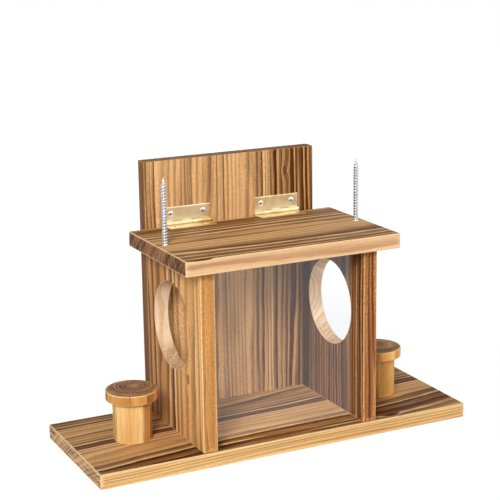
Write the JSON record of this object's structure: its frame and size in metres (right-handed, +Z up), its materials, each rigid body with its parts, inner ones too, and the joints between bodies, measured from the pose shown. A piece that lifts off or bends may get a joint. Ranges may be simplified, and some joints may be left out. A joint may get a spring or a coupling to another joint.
{
  "type": "squirrel feeder box",
  "caption": "Wooden feeder box on a long base with a hinged roof, clear front window, round side holes, stools at both ends and pointed roof screws.",
  "frame": {"origin": "middle of the base board's underside, on the surface that the feeder stands on", "axes": "+X to the right along the base, +Y to the back board, +Z up"},
  "size_m": [0.4, 0.157, 0.275],
  "materials": {
    "base_wood": "scorched and brushed fir with straight dark grain, satin",
    "panel_wood": "scorched and brushed fir with upright grain, satin",
    "back_wood": "scorched and brushed fir with upright grain, satin",
    "roof_wood": "scorched and brushed fir with straight dark grain, satin",
    "stool_wood": "clear-coated light pine with dark end grain",
    "clear_sheet": "clear acrylic, polished faces",
    "hinge_brass": "pressed and polished brass plate",
    "pin_steel": "drawn wire",
    "screw_nickel": "bright nickel plate",
    "screw_zinc": "zinc plate",
    "spike_steel": "zinc-plated steel with a coarse wood thread"
  },
  "bodies": {
    "box": {"base_board": "base_wood", "side_panel_left": "panel_wood", "side_panel_right": "panel_wood", "back_board": "back_wood", "front_window": "clear_sheet", "seat_post_left": "stool_wood", "seat_post_right": "stool_wood", "seat_cap_left": "stool_wood", "seat_cap_right": "stool_wood", "hinge_left_board_leaf": "hinge_brass", "hinge_left_pin": "pin_steel", "hinge_left_board_screws": "screw_nickel", "hinge_right_board_leaf": "hinge_brass", "hinge_right_pin": "pin_steel", "hinge_right_board_screws": "screw_nickel", "panel_screws_left": "screw_zinc", "panel_screws_right": "screw_zinc", "back_screws_left": "screw_zinc", "back_screws_right": "screw_zinc", "seat_screw_left": "screw_zinc", "seat_screw_right": "screw_zinc"},
    "lid": {"roof_board": "roof_wood", "hinge_left_roof_leaf": "hinge_brass", "hinge_left_roof_screws": "screw_nickel", "hinge_right_roof_leaf": "hinge_brass", "hinge_right_roof_screws": "screw_nickel", "feed_spike_left": "spike_steel", "feed_spike_right": "spike_steel"}
  },
  "joints": [
    {"name": "lid_hinge", "type": "hinge", "parent": "box", "child": "lid", "pos_m": [0, 0.0559, 0.2106], "axis": [-1, 0, 0], "range_deg": [0, 94]}
  ]
}
